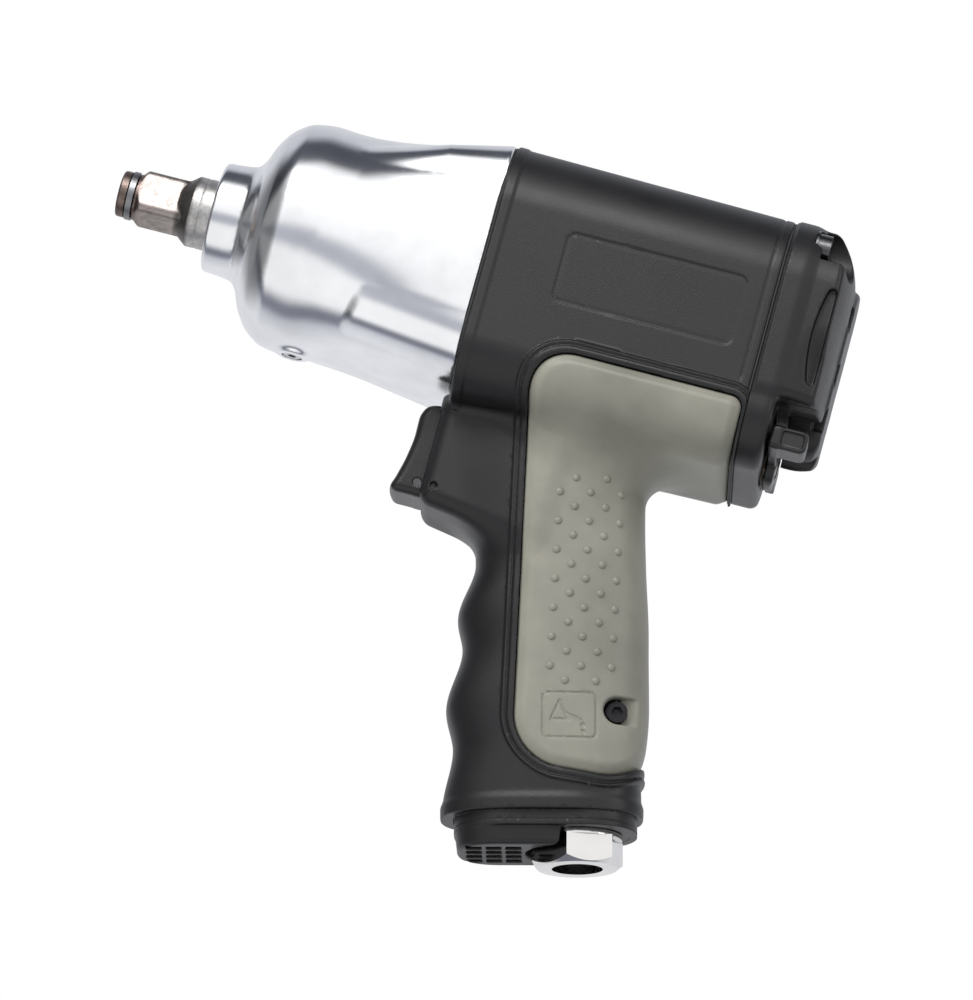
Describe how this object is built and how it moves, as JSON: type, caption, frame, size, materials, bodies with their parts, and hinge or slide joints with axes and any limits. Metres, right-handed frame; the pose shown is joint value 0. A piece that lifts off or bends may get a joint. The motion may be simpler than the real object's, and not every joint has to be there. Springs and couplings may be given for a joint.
{
  "type": "air impact wrench",
  "caption": "Pistol-grip air impact wrench: square drive, twin-hammer case, vane motor, sliding trigger and reverse rocker.",
  "frame": {"origin": "middle of the anvil's front face, on the drive axis", "axes": "-X out of the square drive, +Z away from the handle, -Y the side with the oil plug"},
  "size_m": [0.203, 0.0722, 0.1903],
  "materials": {
    "anvil_steel": "bare hardened steel, satin, darker than the case",
    "black_rubber": "matt rubber",
    "case_aluminium": "machined and vapour-blasted satin aluminium",
    "bronze": "sintered bronze, satin",
    "zinc_steel": "zinc-plated steel, satin",
    "dark_steel": "heat-treated steel, dark satin",
    "gasket": "gasket paper, matt",
    "plate_aluminium": "turned aluminium",
    "bearing_steel": "ground bearing steel",
    "liner_steel": "honed steel",
    "vane_resin": "fibre-filled resin",
    "black_composite": "black glass-filled nylon, fine satin texture",
    "grey_overmould": "taupe-grey soft overmould, satin",
    "black_steel": "black oxide steel",
    "cap_screw": "bright zinc-plated steel",
    "lever_black": "black nylon, satin",
    "valve_resin": "acetal resin",
    "trigger_black": "black nylon, semi-gloss",
    "spring_steel": "spring steel wire",
    "inlet_chrome": "nickel-chrome plated steel",
    "deflector_black": "black nylon, satin",
    "felt": "sintered felt"
  },
  "bodies": {
    "casing": {"hammer_case": "case_aluminium", "nose_seal": "black_rubber", "anvil_bushing": "bronze", "grease_plug": "zinc_steel", "case_gasket": "gasket", "front_end_plate": "plate_aluminium", "bearing_outer_rings": "bearing_steel", "bearing_balls": "bearing_steel", "motor_cylinder": "liner_steel", "cylinder_dowel": "bearing_steel", "rear_end_plate": "plate_aluminium", "rear_spacer": "plate_aluminium", "housing": "black_composite", "grip_panel": "grey_overmould", "oil_plug": "black_steel", "rear_gasket": "gasket", "rear_cover": "black_composite", "case_screws": "cap_screw", "screw_washers": "cap_screw", "detent_ball": "bearing_steel", "detent_spring": "spring_steel", "valve_bushing": "bronze", "valve_seat": "black_rubber", "valve_spring": "spring_steel", "inlet_bushing": "inlet_chrome", "inlet_o_ring": "black_rubber", "inlet_screen": "spring_steel", "exhaust_deflector": "deflector_black", "exhaust_muffler": "felt"},
    "anvil": {"anvil": "anvil_steel", "socket_ring": "dark_steel", "ring_o_ring": "black_rubber"},
    "rotor": {"rotor": "dark_steel", "rotor_vanes": "vane_resin", "hammer_frame": "dark_steel", "hammer_pins": "bearing_steel", "bearing_inner_rings": "bearing_steel"},
    "front_hammer": {"hammer_front": "dark_steel"},
    "rear_hammer": {"hammer_rear": "dark_steel"},
    "reverse": {"reverse_lever": "lever_black", "reverse_valve": "valve_resin", "lever_screw": "cap_screw"},
    "trigger": {"trigger": "trigger_black", "trigger_pin": "cap_screw", "throttle_stem": "zinc_steel"}
  },
  "joints": [
    {"name": "anvil_spin", "type": "hinge", "parent": "casing", "child": "anvil", "pos_m": [0, 0, 0], "axis": [1, 0, 0], "continuous": true},
    {"name": "rotor_spin", "type": "hinge", "parent": "casing", "child": "rotor", "pos_m": [0.1, 0, 0], "axis": [1, 0, 0], "continuous": true},
    {"name": "front_hammer_rock", "type": "hinge", "parent": "rotor", "child": "front_hammer", "pos_m": [0.065, 0, 0.0197], "axis": [1, 0, 0], "range_deg": [-4.5, 4.5]},
    {"name": "rear_hammer_rock", "type": "hinge", "parent": "rotor", "child": "rear_hammer", "pos_m": [0.083, 0, -0.0197], "axis": [1, 0, 0], "range_deg": [-4.5, 4.5]},
    {"name": "reverse_turn", "type": "hinge", "parent": "casing", "child": "reverse", "pos_m": [0.19, 0, -0.0285], "axis": [1, 0, 0], "range_deg": [-12, 12]},
    {"name": "trigger_pull", "type": "slide", "parent": "casing", "child": "trigger", "axis": [1, 0, 0], "range_m": [0, 0.006], "stiffness_N_per_m": 900, "springref_m": -0.004, "deforming": ["valve_spring"]}
  ]
}
